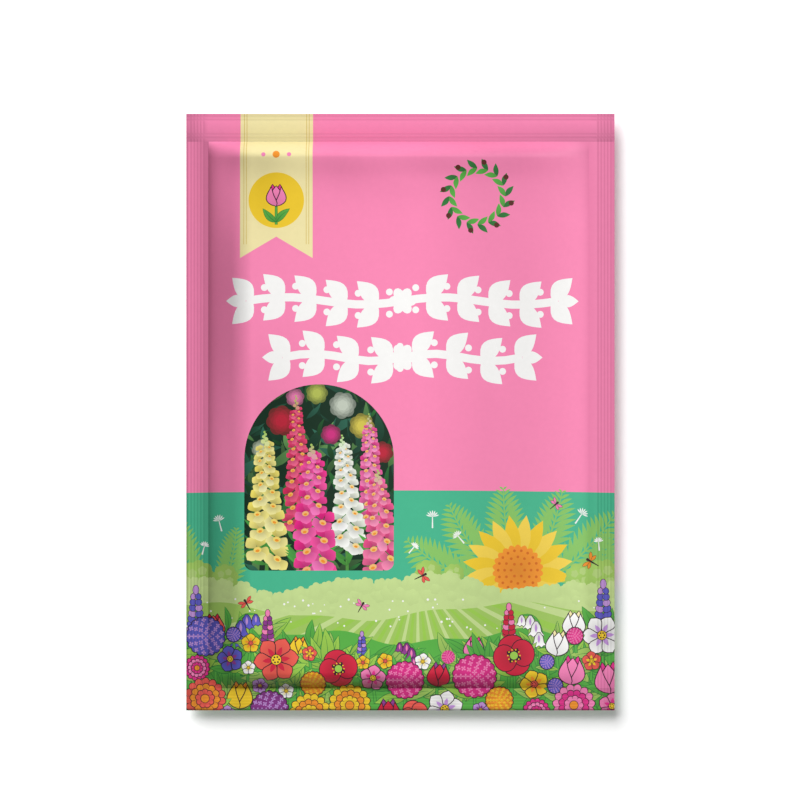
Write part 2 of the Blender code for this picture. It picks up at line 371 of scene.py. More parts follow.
def ball(sheet, x, y, size, dark, light):
    """Round head of many small florets."""
    r = size / 2
    sheet.lined(scallop(x, y, r, 18, 0.08), dark, 0.2, (x, y, r, 1.1, 0.8))
    for ring, share in ((13, 0.84), (10, 0.62), (7, 0.40), (4, 0.18)):
        for i in range(ring):
            a = 2 * math.pi * (i + 0.5 * (ring % 2)) / ring
            place = offset(x, y, a, share * r)
            for j in range(4):
                sheet.add(petal(*place, 0.13 * r, 0.085 * r, 90 * j + math.degrees(a), 1.3, count=4), light)


def rosette(sheet, x, y, size, outer, middle, heart, turn=0.0):
    """Full flower of three scalloped rounds with a line down each fold."""
    r = size / 2
    for share, bumps, colour in ((1.0, 15, outer), (0.72, 12, middle), (0.45, 9, outer)):
        start = turn + 40 * share
        sheet.lined(scallop(x, y, r * share, bumps, 0.13, start), colour, 0.18, (x, y, r * share, 0.72, 1.1))
        for i in range(bumps):
            a = math.radians(start) + 2 * math.pi * i / bumps
            ends = [offset(x, y, a, s * r * share) for s in (0.66, 0.88)]
            sheet.add(ribbon(ends, 0.06, 0.12), OUTLINE)
    sheet.lined(disc(x, y, r * 0.2, count=10), heart, 0.15)


def poppy(sheet, x, y, size, colour, turn=0.0):
    r = size / 2
    for a, share in ((90, 1.0), (270, 0.96), (0, 1.0), (180, 1.0)):
        place = offset(x, y, math.radians(a + turn), 0.46 * r)
        sheet.lined(disc(*place, 0.56 * r * share, 0.66 * r, a + turn), colour, 0.2, (x, y, r, 0.7, 1.1))
    for i in range(4):
        sheet.add(petal(x, y, 0.42 * r, 0.26 * r, 90 * i + turn + 45, 1.3, count=5), OUTLINE)
    sheet.lined(disc(x, y, 0.2 * r, count=12), LEAF_LIME, 0.14)
    dots(sheet, x, y, 0.3 * r, 10, 0.04 * r, YELLOW)


def bells(sheet, x, y, size, colour, light, side=1):
    """Arched stalk with hanging bells."""
    top, end = (x - side * 0.15 * size, y + size * 0.55), (x + side * 0.55 * size, y + 0.4 * size)
    path = curve((x, y - size * 0.9), top, end, 9)
    sheet.lined(ribbon(path, 0.5, 0.3), LEAF_GREEN, 0.12, dark=DEEP_GREEN)
    half = ((0, -0.92), (0.34, -1.06), (0.66, -0.9), (1.0, -1.0), (0.62, -0.7), (0.5, -0.3), (0.15, 0))
    bell = [(-u, v) for u, v in half[:0:-1]] + list(half)
    for at, share in ((9, 0.72), (7, 0.9), (5, 1.0), (3, 0.95)):
        px, py = path[at]
        px += side * 0.1 * size * (1 - at / 12)
        w, h = 0.24 * size * share, 0.42 * size * share
        sheet.lined([(px + u * w, py + v * h) for u, v in bell], colour, 0.17, (px, py, h, 0.75, 1.12))
        sheet.add(petal(px, py - 0.12 * h, 0.66 * h, 0.34 * w, 270, 1.0, count=4), light)


def spikelet(sheet, x, y, size, colour, light):
    """Upright spike of small paired florets."""
    stem(sheet, x, y + size * 0.4, y - size * 0.8, width=0.4)
    for i in range(8):
        share = 1 - 0.075 * i
        py = y - 0.3 * size + i * 0.15 * size
        for side in (-1, 1):
            pair = disc(x + side * 0.13 * size * share, py, 0.15 * size * share, 0.085 * size, side * 35, 10)
            sheet.lined(pair, colour if (i + side) % 3 else light, 0.13)
    sheet.lined(disc(x, y + 0.92 * size, 0.075 * size, 0.12 * size, count=10), light, 0.13)


def garland(sheet, cx, cy, half, size, colour):
    """Bold leaves in pairs along a softly waved stem, with a berry between them."""
    count = int(round(2 * half / (size * 0.80)))
    xs = np.linspace(-half, half, 2 * count + 1)
    wave = [(cx + x, cy + 0.09 * size * math.sin(x * 2 * math.pi / half)) for x in xs]
    sheet.add(ribbon(wave, 0.2 * size, 0.2 * size), colour)
    for i, (x, y) in enumerate(wave):
        out = 1 if x >= cx else -1
        for side in (-1, 1):
            if i % 2:
                sheet.add(disc(x - out * 0.06 * size, y + side * 0.27 * size, 0.085 * size, count=12), colour)
            elif abs(x - cx) > 0.2 * size:
                foot, lean, bend = x - out * 0.16 * size, side * (90 - out * 42), out * side * 0.05
                sheet.add(petal(foot, y, size * 0.76, size * 0.44, lean, 0.86, bend), colour)
    for side in (-1, 1):
        sheet.add(petal(cx + side * half, cy, size * 0.5, size * 0.3, 90 - 90 * side, 0.9), colour)
    sheet.add(scallop(cx, cy, 0.34 * size, 6, 0.28, 30), colour)


def wreath(sheet, cx, cy, radius):
    """Ring of leaves and berries."""
    sheet.add(ribbon(disc(cx, cy, radius, count=40)[list(range(40)) + [0]], 0.35, 0.35), UMBER)
    for i in range(16):
        a = 22.5 * i
        x, y = offset(cx, cy, math.radians(a), radius)
        for side, colour in ((1, DEEP_GREEN), (-1, LEAF_GREEN)):
            blade = petal(x, y, 3.1, 1.25, a + 90 - side * 38, 0.9, side * 0.05)
            sheet.add(blade, colour, fade=(x, y, 3.1, 0.75, 1.1))
        if i % 2:
            sheet.add(disc(*offset(cx, cy, math.radians(a) + 0.2, radius + 1.5), 0.62, count=12), UMBER)


def waved(x, level, waves):
    """Height of a waved line. waves holds height, length and start of each wave in it."""
    return level + sum(h * np.sin(2 * math.pi * (x - start) / length) for h, length, start in waves)


def ground(sheet, level, waves, colour):
    """Everything below a waved line across the packet."""
    xs = np.linspace(LEFT - 1, RIGHT + 1, 70)
    line = np.stack([xs, waved(xs, level, waves)], 1)[::-1]
    return sheet.add(np.concatenate([[(LEFT - 1, BOTTOM - 1), (RIGHT + 1, BOTTOM - 1)], line]), colour)


def bushes(sheet, draw, hill, level, waves, colour):
    """Leafy rim along the top of a hill, and softer clumps below it."""
    for i in range(46):
        x = LEFT - 1 + 2.3 * i + draw.uniform(-0.7, 0.7)
        y = waved(x, level, waves)
        size = draw.uniform(1.3, 2.5)
        light = (x - 0.3 * size, y + 0.4 * size, size, 1.06, 0.97)
        sheet.add(scallop(x, y - 0.2, size, 7, 0.16, 31 * i), colour, fade=light)
        x, y = x + draw.uniform(-2, 2), y - draw.uniform(1.6, 6.0)
        size = draw.uniform(0.9, 2.0)
        sheet.add(scallop(x, y, size, 6, 0.18, 47 * i), colour, hill, (x, y + size, 2 * size, 1.07, 0.93))


def dragonfly(sheet, x, y, size, turn, colour):
    for side in (-1, 1):
        for angle, length in ((62, 0.62), (104, 0.52)):
            sheet.lined(petal(x, y, size * length, size * 0.2, turn + side * angle, 1.3), colour, 0.08)
    ends = [offset(x, y, math.radians(turn), share * size) for share in (0.22, -0.62)]
    sheet.add(ribbon(ends, 0.14 * size, 0.05 * size), OUTLINE)
    sheet.add(disc(*ends[0], 0.1 * size, count=8), OUTLINE)


def seed_head(sheet, x, y, turn, size):
    """White stalk with a fan of seven hairs."""
    stalk = [(x, y), offset(x, y, math.radians(turn + 250), size)]
    sheet.add(ribbon(stalk, 0.2, 0.34), WHITE)
    for k in range(-3, 4):
        sheet.add(petal(x, y, size * 0.62, 0.3, turn + 70 + 24 * k, 1.6, count=4), WHITE)


def tree(sheet, x, y, size, colour):
    sheet.add(ribbon([(x, y - size * 0.75), (x, y)], 0.16 * size, 0.1 * size), UMBER)
    light = (x - 0.2 * size, y + 0.2 * size, size * 0.8, 1.12, 0.86)
    sheet.add(scallop(x, y, size * 0.5, 9, 0.12, x * 7), colour, fade=light)
    for dx, dy in ((-0.16, 0.12), (0.12, 0.2), (0.18, -0.1), (-0.1, -0.18)):
        clump = scallop(x + dx * size, y + dy * size, size * 0.13, 5, 0.2, x * 11)
        sheet.add(clump, mixed(colour, PALE_LIME, 0.5))


def frond(sheet, x, y, length, angle, bend, colour):
    """Arched stalk with narrow leaflets on both sides."""
    a = math.radians(angle)
    path = curve((x, y), offset(x, y, a, 0.55 * length, bend), offset(x, y, a, length), 16)
    sheet.add(ribbon(path, 0.7, 0.25), colour)
    for i in range(3, 17):
        way = math.degrees(math.atan2(*(path[i] - path[i - 1])[::-1]))
        size = 0.27 * length * math.sin(math.pi * min(0.97, 0.12 + i / 19)) ** 0.8
        for side in (-1, 1):
            blade = petal(*path[i], size, 0.15 * size + 0.3, way + side * 50, 0.9, -side * 0.06, 6)
            sheet.add(blade, colour)


# The print

# Soft flowers at the back of the window: x, y, size and colour
FAR_FLOWERS = (
    (-27.8, -2.0, 3.6, CRIMSON), (-13.5, 1.6, 3.2, ink(214, 222, 206)),
    (-19.5, 4.4, 2.6, ink(196, 206, 96)), (-16.2, -5.2, 2.4, MAGENTA),
    (-32.6, -8.6, 2.2, ink(206, 216, 190)), (-9.0, -3.2, 3.0, ink(232, 214, 90)),
    (-24.6, 3.4, 2.2, ROSE), (-4.2, -9.4, 2.6, CRIMSON),
)
# Spikes in the window: x, lowest floret, tip, scale and two colours
SPIKES = (
    (-24.0, -27, 2.4, 0.74, ink(214, 26, 84), ink(244, 110, 150)),
    (-6.8, -26, -1.8, 0.72, MAGENTA, ink(250, 160, 205)),
    (-31.2, -34, -6.0, 1.0, ink(232, 216, 96), ink(250, 246, 186)),
    (-12.4, -31, -6.8, 0.86, ink(222, 228, 210), WHITE),
    (-4.6, -38, -15.0, 1.0, ink(226, 44, 120), ink(252, 160, 196)),
    (-20.2, -39, -9.0, 1.12, ink(232, 30, 132), ink(252, 132, 198)),
)
# Lobes of a floret: angle, length, width and share of the lighter colour
LOBES = (
    (116, 0.52, 0.46, 0.0), (64, 0.52, 0.46, 0.1), (208, 0.50, 0.42, 0.3), (332, 0.50, 0.42, 0.25),
    (270, 0.50, 0.50, 0.55),
)
# Waves of the field, the hill and the crop rows: height, length and start
FIELD_WAVES = ((0.7, 210, -52),)
HILL_WAVES = ((1.6, 58, -12), (0.8, 27, 5))
ROW_WAVES = ((1.8, 74, 8), (0.5, 23, 0))
# Fronds: x, y, length, angle and bend
FRONDS = (
    (24.0, -42, 25, 152, 3.0), (25.0, -42, 24, 124, 2.0), (27.0, -42, 24, 97, 1.0),
    (29.5, -42, 24.5, 70, -1.5), (31.0, -42, 26, 43, -3.0), (-46.0, -46, 22, 108, 1.5),
    (-43.0, -46, 19, 76, -1.5), (46.0, -46, 18, 84, -1.0),
)
# Trees: x and size
TREES = ((-47.5, 8.5), (-41.0, 6.4), (6.5, 6.6), (12.5, 5.0), (42.0, 7.0), (47.6, 9.0))
# Dragonflies: x, y, size, turn and colour
DRAGONFLIES = (
    (5.2, -38.2, 3.4, 25, CORAL), (44.6, -35.0, 3.6, 150, ORANGE), (-9.0, -45.2, 3.0, 60, ROSE),
    (-36.0, -44.6, 3.2, 120, CORAL), (36.4, -21.6, 2.8, 40, ROSE),
)
# White seed heads: x, y, turn and size
SEED_HEADS = (
    (7.5, -24.5, 20, 2.6), (13.5, -29.0, 60, 2.2), (42.5, -24.0, -15, 2.6), (46.5, -30.5, 25, 2.0),
    (-42.5, -25.5, 35, 2.5), (-46.0, -31.5, 5, 2.0), (3.2, -31.5, -20, 1.9),
)
# Tall flowers at the back of the meadow: kind, x, y, size and two colours
TALL_FLOWERS = (
    ("spikelet", -48.0, -50.0, 9.0, VIOLET, LILAC), ("bells", -38.6, -50.6, 8.4, VIOLET, LILAC),
    ("spikelet", -31.0, -53.4, 7.0, PURPLE, ROSE), ("tulip", -43.6, -50.2, 5.8, CORAL, CRIMSON),
    ("tulip", -24.0, -55.0, 5.2, YELLOW, ORANGE), ("spikelet", -9.0, -57.0, 5.6, VIOLET, LILAC),
    ("bells", 3.6, -56.6, 6.6, PURPLE, ROSE), ("tulip", 17.0, -55.2, 5.4, ROSE, MAGENTA),
    ("spikelet", 25.4, -52.6, 7.6, CRIMSON, ROSE), ("bells", 33.0, -50.8, 8.0, WHITE, LILAC),
    ("tulip", 40.6, -49.6, 6.0, WHITE, CREAM), ("spikelet", 47.6, -49.0, 9.4, VIOLET, LILAC),
)
# Round flowers, by size: smallest and largest size, how many, and their kinds with two colours each
ROUND_FLOWERS = (
    (8.6, 10.8, 13, (
        ("poppy", CRIMSON, None), ("rosette", YELLOW, ORANGE), ("ball", MAGENTA, ROSE),
        ("blossom", WHITE, LILAC), ("rosette", ROSE, MAGENTA), ("ball", VIOLET, LILAC),
        ("blossom", CORAL, CRIMSON), ("rosette", CORAL, ORANGE), ("ball", PURPLE, LILAC),
    )),
    (5.8, 7.8, 19, (
        ("tulip", YELLOW, ORANGE), ("blossom", VIOLET, PURPLE), ("poppy", CORAL, None),
        ("tulip", ROSE, MAGENTA), ("ball", ORANGE, YELLOW), ("blossom", ROSE, MAGENTA),
        ("tulip", CRIMSON, PURPLE), ("rosette", MAGENTA, ROSE), ("blossom", YELLOW, ORANGE),
        ("tulip", WHITE, CREAM),
    )),
    (3.2, 4.8, 26, (
        ("blossom", WHITE, CREAM), ("ball", VIOLET, LILAC), ("blossom", CORAL, YELLOW),
        ("ball", MAGENTA, ROSE), ("blossom", YELLOW, ORANGE), ("blossom", LILAC, PURPLE),
    )),
)


def floret(sheet, window, draw, x, y, size, turn, colour, light):
    """Two-lipped floret: two lobes above, three below and a yellow throat."""
    for angle, length, width, share in LOBES:
        reach = length * size * draw.uniform(0.88, 1.12)
        way = angle + turn + draw.uniform(-10, 10)
        lobe = petal(x, y, reach, width * size, way, 1.5, draw.uniform(-0.08, 0.08), 7)
        shade = mixed(colour, light, share + 0.35 * draw.random())
        sheet.add(lobe, shade, window, (x, y, 0.55 * size, 0.5, 1.18))
    throat = disc(x, y - 0.04 * size, 0.15 * size, 0.11 * size, turn, 10)
    sheet.add(throat, mixed(YELLOW, light, 0.3), window)
    sheet.add(disc(x, y - 0.07 * size, 0.08 * size, 0.05 * size, turn, 8), ORANGE, window)


def spike(sheet, window, draw, foot, x, low, high, scale, colour, light):
    """Stalk with narrow leaves, florets that get smaller upwards, and buds at its tip."""
    lean = draw.uniform(-1.2, 1.2)
    stalk = ribbon(curve((x, foot - 2), (x, low), (x + lean, high), 8), 0.9 * scale, 0.4)
    sheet.add(stalk, ink(84, 148, 66), window)
    for i in range(10):
        y = foot + (low - foot + 6) * draw.random()
        angle = 90 + draw.choice((1, -1)) * draw.uniform(15, 70)
        blade = petal(x, y, 6.5 * scale, 1.3 * scale, angle, 0.8, 0.05, 6)
        green = mixed(DEEP_GREEN, LEAF_GREEN, draw.uniform(0, 0.8))
        sheet.add(blade, green, window, (x, y, 6.5, 0.6, 1.2))
    y, side = low, 1
    while y < high - 1.5:
        share = (y - low) / (high - low)
        size = scale * (6.6 - 4.2 * share**1.3)
        px = x + lean * share**2 + side * size * draw.uniform(0.24, 0.40)
        floret(sheet, window, draw, px, y, size, -side * draw.uniform(8, 30), colour, light)
        y += size * draw.uniform(0.30, 0.38)
        side = -side
    for i in range(6):
        px = x + lean + 0.5 * scale * (1 - i / 6) * (-1) ** i
        bud = disc(px, high - 1.4 + 0.55 * i, (0.62 - 0.07 * i) * scale, count=9)
        sheet.add(bud, mixed(LEAF_LIME, light, 0.7 - 0.12 * i), window)


def picture_window(sheet, draw):
    """Arched window with tall spikes of round blossoms in front of dark leaves."""
    left, right, foot, spring, corner = -36.5, -1.5, -37.0, -11.0, 2.0
    radius = (right - left) / 2
    t = np.linspace(0, math.pi, 40)
    arch = np.stack([(left + right) / 2 + radius * np.cos(t), spring + radius * np.sin(t)], 1)
    low_left, low_right = (disc(x, foot + corner, corner, count=24) for x in (left + corner, right - corner))
    window = sheet.add(np.concatenate([arch, low_left[12:19], low_right[18:]]), NIGHT_GREEN)
    greens = (DEEP_GREEN, ink(58, 122, 100), ink(112, 168, 96), ink(40, 92, 70))
    for i in range(260):
        x, y = draw.uniform(left - 3, right + 3), draw.uniform(foot - 6, spring + radius)
        size = draw.uniform(2.5, 8.5)
        width, angle = size * draw.uniform(0.16, 0.34), draw.uniform(20, 160)
        blade = petal(x, y, size, width, angle, 0.8, draw.uniform(-0.1, 0.1), 6)
        green = mixed(NIGHT_GREEN, greens[i % 4], draw.uniform(0.2, 0.9))
        sheet.add(blade, green, window, (x, y, size, 0.5, 1.15))
    for x, y, size, colour in FAR_FLOWERS:
        for ring in range(5):
            round_shape = scallop(x, y, size * (1 - 0.15 * ring), 7, 0.12, 20 * ring + 9 * x)
            sheet.add(round_shape, mixed(NIGHT_GREEN, colour, 0.28 + 0.14 * ring), window)
    for values in SPIKES:
        spike(sheet, window, draw, foot, *values)


def top_tab(sheet):
    """Cream ribbon end with a swallow-tail, and a tulip on a yellow disc."""
    x0, x1, foot = -37.5, -20.5, 36.0
    mid = (x0 + x1) / 2
    sheet.add([(x0, foot), (mid, foot + 5.0), (x1, foot), (x1, TOP + 1), (x0, TOP + 1)], CREAM)
    for line in (0.9, 1.5):
        for x in (x0 + line, x1 - line):
            sheet.add(ribbon([(x, foot + 3.2), (x, TOP + 1)], 0.16, 0.16), ink(222, 196, 110))
    sheet.add(disc(mid, 49.5, 6.5, count=48), YELLOW)
    stem(sheet, mid, 48.8, 43.9, width=0.5)
    for angle in (135, 45):
        leaf(sheet, mid, 44.4, 4.4, angle, LEAF_GREEN, 0.12)
    tulip(sheet, mid, 50.6, 4.4, ROSE, MAGENTA)
    for shift, size, colour in ((-3, 0.5, ROSE), (0, 0.85, ORANGE), (3, 0.5, ROSE)):
        sheet.add(disc(mid + shift, 60.2, size, count=14), colour)


def land(sheet, draw):
    """Teal field, a large round flower behind the hills, trees, and rows of crops that fan out."""
    ground(sheet, -19.0, FIELD_WAVES, TEAL)
    for values in FRONDS:
        frond(sheet, *values, mixed(TEAL, LEAF_LIME, 0.72))
    x, y = 27.5, -37.0
    for i in range(20):
        colour = YELLOW if i % 2 else ink(250, 216, 84)
        sheet.add(petal(x, y, 13.0, 3.6, 18 * i + 9, 1.3, count=7), colour, fade=(x, y, 13.0, 0.86, 1.04))
    sheet.add(scallop(x, y, 6.0, 22, 0.1), ORANGE, fade=(x, y, 6.0, 0.85, 1.06))
    for count, radius in ((18, 4.6), (12, 3.1), (6, 1.6)):
        dots(sheet, x, y, radius, count, 0.34, ink(214, 112, 34), sides=8)
    for x, size in TREES:
        tree(sheet, x, -37.5 - 0.03 * abs(x), size, MID_LIME)
    hill = ground(sheet, -41.0, HILL_WAVES, PALE_LIME)
    bushes(sheet, draw, hill, -41.0, HILL_WAVES, PALE_LIME)
    rows = ground(sheet, -46.6, ROW_WAVES, MID_LIME)
    near = (4.0, -38.0)
    for i in range(26):
        far = offset(*near, math.radians(196 + 6.2 * i), 76)
        sheet.add(ribbon([near, far], 0.1, 3.6), LEAF_LIME if i % 2 else PALE_LIME, rows)
    ground(sheet, -52.6, ((1.4, 49, 16), (0.7, 21, 3)), LEAF_GREEN)
    for i in range(70):
        place = (draw.uniform(LEFT, RIGHT), draw.uniform(-51, -43.5))
        sheet.add(disc(*place, draw.uniform(0.14, 0.3), count=7), WHITE)
    for values in DRAGONFLIES:
        dragonfly(sheet, *values)
    for values in SEED_HEADS:
        seed_head(sheet, *values)


def meadow_top(x):
    """Height of the meadow, which sinks towards its middle."""
    return -57.4 + 8.4 * abs((x - 2) / 50) ** 1.4


def placed_flowers(draw):
    """Round flowers with room for each, the large ones placed first, sorted from the back to the front."""
    placed = []
    for small, large, count, kinds in ROUND_FLOWERS:
        wanted, tries = len(placed) + count, 0
        while len(placed) < wanted and tries < 1500:
            tries += 1
            x, size = draw.uniform(LEFT - 1, RIGHT + 1), draw.uniform(small, large)
            y = draw.uniform(BOTTOM - 1, meadow_top(x) - 0.2 * size)
            if all(math.hypot(x - px, y - py) > 0.46 * (size + other) for _, px, py, other, _, _ in placed):
                kind, colour, second = kinds[len(placed) % len(kinds)]
                placed.append((kind, x, y, size, colour, second))
    return sorted(placed, key=lambda flower: -flower[2])


def tuft(sheet, draw, x, y, size, colour):
    """Fan of broad leaves."""
    for k in (-3, 3, -2, 2, -1, 1, 0):
        length, angle = size * draw.uniform(0.8, 1.05), 90 + 24 * k + draw.uniform(-5, 5)
        leaf(sheet, x, y, length, angle, colour, 0.15, draw.uniform(0.26, 0.34), 0.05 if k > 0 else -0.05)


def draw_flower(sheet, kind, x, y, size, colour, other, turn):
    if kind == "tulip":
        tulip(sheet, x, y, size * 0.86, colour, other, turn / 3 - 7)
    elif kind == "blossom":
        heart, petals = CORAL if colour == YELLOW else YELLOW, 6 if size > 8 else 5
        blossom(sheet, x, y, size, colour, other, heart, petals, turn, 0.2 if size > 5 else 0.14)
    elif kind == "ball":
        ball(sheet, x, y, size, colour, other)
    elif kind == "rosette":
        rosette(sheet, x, y, size, colour, other, ORANGE, turn)
    elif kind == "poppy":
        poppy(sheet, x, y, size, colour, turn)
    elif kind == "bells":
        bells(sheet, x, y, size, colour, other, 1 if x < 0 else -1)
    else:
        spikelet(sheet, x, y, size, colour, other)


def meadow(sheet, draw):
    """Outlined flowers, leaves and stems along the foot of the packet."""
    greens = (LEAF_LIME, LEAF_GREEN, MID_LIME)
    for i in range(150):
        x = draw.uniform(LEFT, RIGHT)
        leaf(sheet, x, draw.uniform(BOTTOM - 2, meadow_top(x)), draw.uniform(4.0, 8.0), draw.uniform(30, 150),
             draw.choice(greens), 0.13, draw.uniform(0.22, 0.36), draw.uniform(-0.1, 0.1))
    for flower in TALL_FLOWERS:
        _, x, y, size, _, _ = flower
        stem(sheet, x, y, y - 13, draw.uniform(-0.6, 0.6))
        for side in (-1, 1):
            length, angle = draw.uniform(4.6, 6.6), 90 - side * draw.uniform(28, 58)
            leaf(sheet, x, y - 0.9 * size, length, angle, draw.choice(greens), 0.15, 0.3)
        draw_flower(sheet, *flower, draw.uniform(0, 40))
    for i in range(14):
        x = -48 + 7.4 * i + draw.uniform(-2, 2)
        y = draw.uniform(-69, meadow_top(x) - 3)
        tuft(sheet, draw, x, y, draw.uniform(5.5, 9.0), draw.choice(greens))
    for flower in placed_flowers(draw):
        _, x, y, size, _, _ = flower
        stem(sheet, x, y, y - size, draw.uniform(-0.6, 0.6))
        for side in (-1, 1):
            angle = 90 - side * draw.uniform(40, 100)
            leaf(sheet, x, y - 0.5 * size, 0.8 * size, angle, draw.choice(greens), 0.15, 0.36, side * 0.06)
        draw_flower(sheet, *flower, draw.uniform(0, 40))


def blank_sheet(colour):
    sheet = Sheet()
    sheet.add([(LEFT, BOTTOM), (RIGHT, BOTTOM), (RIGHT, TOP), (LEFT, TOP)], colour)
    return sheet


def front_sheet():
    draw = random.Random(5)
    sheet = blank_sheet(PINK)
    land(sheet, draw)
    picture_window(sheet, draw)
    top_tab(sheet)
    wreath(sheet, 18.0, 50.5, 6.6)
    garland(sheet, 0.5, 26.0, 36.5, 9.6, WHITE)
    garland(sheet, 0.5, 12.8, 28.0, 9.6, WHITE)
    meadow(sheet, draw)
    return sheet


def back_sheet():
    """Cream panel with ruled lines and a strip of twelve plain squares, over the same land."""
    sheet = blank_sheet(PINK)
    for level, waves, colour in (
        (-40.0, FIELD_WAVES, TEAL), (-50.0, HILL_WAVES, PALE_LIME), (-57.0, ROW_WAVES, LEAF_GREEN),
    ):
        ground(sheet, level, waves, colour)
    corner = 3.0
    panel = [offset(sx * (35 - corner), 8 + sy * (43 - corner), a, corner)
             for sx, sy, start in ((1, 1, 0), (-1, 1, 90), (-1, -1, 180), (1, -1, 270))
             for a in np.radians(np.linspace(start, start + 90, 7))]
    sheet.add(grown(panel, 0.8), WHITE)
    sheet.add(panel, CREAM)
    for i in range(12):
        x = -27.5 + 5.0 * i
        colour = LEAF_GREEN if 2 <= i <= 5 else ROSE if 6 <= i <= 9 else ink(226, 208, 142)
        sheet.add([(x - 2.1, -27), (x + 2.1, -27), (x + 2.1, -22.8), (x - 2.1, -22.8)], colour)
    for i in range(11):
        y = 44 - 5.6 * i
        sheet.add(ribbon([(-29.5, y), (12.0 if i % 4 == 3 else 29.5, y)], 0.28, 0.28), ink(222, 204, 140))
    for i in range(9):
        colour = (ROSE, YELLOW, CORAL, WHITE)[i % 4]
        blossom(sheet, -44 + 11 * i, -63.5, 6.4, colour, MAGENTA, ORANGE, 5, 20 * i)
    return sheet


# Films as closed meshes

def groove_lines(edge, inward, groups):
    """Every quarter pitch of the grooves, so that both flanks of each are lit."""
    return [edge + inward * (first + step * pitch / 4)
            for first, pitch, count in groups for step in range(-2, 4 * count - 1)]


def spaced(low, high, step):
    return list(np.linspace(low, high, int(round((high - low) / step)) + 1))


def crossing(xs, ys, left, right, bottom, top):
    """Upright lines at each x and level lines at each y, as pairs of ends."""
    return [((x, bottom), (x, top)) for x in xs] + [((left, y), (right, y)) for y in ys]


def outer_lines(step):
    """Lines across the whole film that its printed face follows: grooves, weld edges and body."""
    xs = groove_lines(LEFT, 1, SIDE_GROOVES) + groove_lines(RIGHT, -1, SIDE_GROOVES)
    ys = groove_lines(TOP, -1, TOP_GROOVES) + groove_lines(BOTTOM, 1, BOTTOM_GROOVES)
    for inward in RIM_LINES:
        xs += [LEFT + inward, RIGHT - inward]
        ys += [TOP - inward, BOTTOM + inward]
    for lines, low, high in ((xs, BODY_LEFT, BODY_RIGHT), (ys, BODY_BOTTOM, BODY_TOP)):
        lines += [low - EDGE_LINE, low + EDGE_LINE, high - EDGE_LINE, high + EDGE_LINE]
        for inward in CLOSE_LINES:
            lines += [low + inward, high - inward]
        lines += spaced(low + FINE_FROM, low + FINE_UNTIL, 0.5 * step)
        lines += spaced(high - FINE_UNTIL, high - FINE_FROM, 0.5 * step)
        lines += spaced(low + FINE_UNTIL, high - FINE_UNTIL, step)[1:-1]
    return crossing(xs, ys, LEFT, RIGHT, BOTTOM, TOP)


def inner_lines(step=2.4):
    """Lines of the plain inner face, which end at the welds."""
    xs = [BODY_LEFT] + spaced(BODY_LEFT + 1, BODY_RIGHT - 1, step) + [BODY_RIGHT]
    ys = [BODY_BOTTOM] + spaced(BODY_BOTTOM + 1, BODY_TOP - 1, step) + [BODY_TOP]
    return crossing(xs, ys, BODY_LEFT, BODY_RIGHT, BODY_BOTTOM, BODY_TOP)


def flat_plan(points, edges, faces, merged=1e-6, snapped=1e-3):
    """Points and triangles between the given edges and faces, and the faces that cover each triangle."""
    plan = delaunay_2d_cdt([Vector(p) for p in points], edges, faces, 0, merged, True)
    xy = np.array([(p.x, p.y) for p in plan[0]])
    for axis, level in ((0, LEFT), (0, RIGHT), (1, BOTTOM), (1, TOP)):
        xy[np.abs(xy[:, axis] - level) < snapped, axis] = level
    return xy, plan[2], plan[5]


def topmost_shapes(sheet):
    """Triangles of all the overlapping shapes, and the topmost shape that each belongs to."""
    points, faces = [], []
    for shape in sheet.shapes:
        faces.append(list(range(len(points), len(points) + len(shape))))
        points += shape.tolist()
    xy, drawn, covers = flat_plan(points, [], faces)
    triangles, owners = [], []
    for triangle, origins in zip(drawn, covers):
        covering = set(origins)
        if 0 in covering:
            triangles.append(triangle)
            owners.append(max(s for s in covering if sheet.clips[s] < 0 or sheet.clips[s] in covering))
    return xy, np.array(triangles), np.array(owners)


def visible_outlines(xy, triangles, owners, straight=0.004):
    """Edges between triangles of different shapes, without the points that only halve a straight run."""
    sides = np.sort(triangles[:, [0, 1, 1, 2, 2, 0]].reshape(-1, 2), axis=1)
    shapes = np.repeat(owners, 3)
    order = np.lexsort((sides[:, 1], sides[:, 0]))
    sides, shapes = sides[order], shapes[order]
    shared = (sides[1:] == sides[:-1]).all(axis=1) & (shapes[1:] != shapes[:-1])
    joined = {}
    for a, b in sides[1:][shared].tolist():
        joined.setdefault(a, set()).add(b)
        joined.setdefault(b, set()).add(a)
    places = xy.tolist()
    for point in list(joined):
        if len(joined[point]) != 2:
            continue
        a, b = joined[point]
        (ax, ay), (bx, by), (px, py) = places[a], places[b], places[point]
        run = math.hypot(bx - ax, by - ay)
        aside = abs((bx - ax) * (py - ay) - (by - ay) * (px - ax))
        ahead = (px - ax) * (bx - px) + (py - ay) * (by - py)
        if aside < straight * run and ahead > 0 and b not in joined[a]:
            joined[a] = joined[a] - {point} | {b}
            joined[b] = joined[b] - {point} | {a}
            del joined[point]
    numbers = {point: i for i, point in enumerate(joined)}
    edges = [(numbers[a], numbers[b]) for a in joined for b in joined[a] if a < b]
    return [places[point] for point in joined], edges


